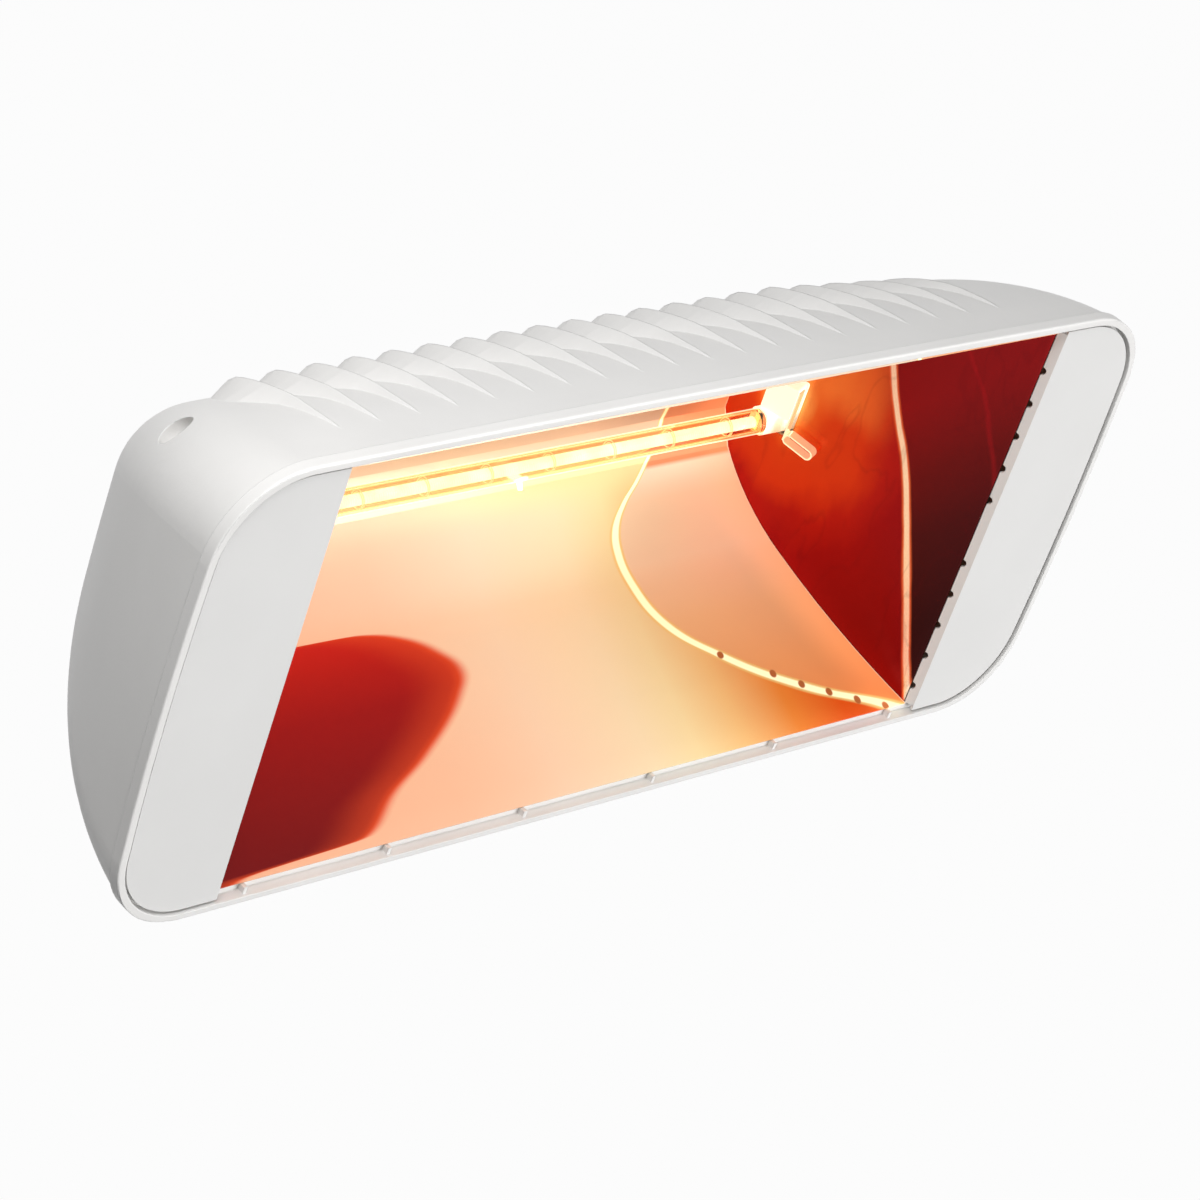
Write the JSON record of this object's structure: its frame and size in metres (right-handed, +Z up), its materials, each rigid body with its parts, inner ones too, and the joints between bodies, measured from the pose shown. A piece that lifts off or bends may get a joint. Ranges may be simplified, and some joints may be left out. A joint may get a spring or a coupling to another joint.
{
  "type": "infrared patio heater",
  "caption": "Wall-mounted short-wave infrared heater: a finned cast head with a mirrored trough and a halogen lamp, tilting on a steel wall bracket.",
  "frame": {"origin": "centre of the wall plate's back face, on the wall", "axes": "+X to the right seen from the room, +Y into the wall, +Z up; the head faces -Y at rest"},
  "size_m": [0.457, 0.166, 0.191],
  "materials": {
    "cast_shell": "satin",
    "panel_paint": "satin",
    "gold_mirror": "polished",
    "galvanised": "satin",
    "black_paint": "satin",
    "silicone": "matte",
    "ceramic_white": "matte",
    "quartz": "gloss",
    "tungsten": "satin",
    "spring_steel": "satin",
    "fasteners": "satin",
    "gland_plastic": "matte",
    "lead_sleeve": "matte",
    "terminal_ceramic": "matte"
  },
  "bodies": {
    "bracket": {"wall_bracket": "black_paint", "pivot_bolts": "fasteners", "pivot_nuts": "fasteners", "friction_washers": "gland_plastic", "lock_washers": "fasteners"},
    "head": {"housing": "cast_shell", "front_panel_left": "panel_paint", "front_panel_right": "panel_paint", "panel_gasket_left": "silicone", "panel_gasket_right": "silicone", "panel_clips": "spring_steel", "reflector_trough": "gold_mirror", "end_reflector_left": "gold_mirror", "end_reflector_right": "gold_mirror", "end_bracket_left": "galvanised", "end_bracket_right": "galvanised", "bracket_screws": "fasteners", "lamp_tube": "quartz", "filament": "tungsten", "filament_supports": "spring_steel", "lamp_cap_left": "ceramic_white", "lamp_cap_right": "ceramic_white", "lamp_holder_left": "ceramic_white", "lamp_holder_right": "ceramic_white", "holder_spring_left": "spring_steel", "holder_spring_right": "spring_steel", "terminal_block": "terminal_ceramic", "pole_screws": "fasteners", "terminal_screws": "fasteners", "lamp_lead_left": "lead_sleeve", "lamp_lead_right": "lead_sleeve", "gland_body": "gland_plastic", "gland_seal": "silicone", "gland_cap": "gland_plastic", "gland_locknut": "gland_plastic"}
  },
  "joints": [
    {"name": "tilt", "type": "hinge", "parent": "bracket", "child": "head", "pos_m": [0, -0.04, 0.046], "axis": [1, 0, 0], "range_deg": [0, 45]}
  ]
}
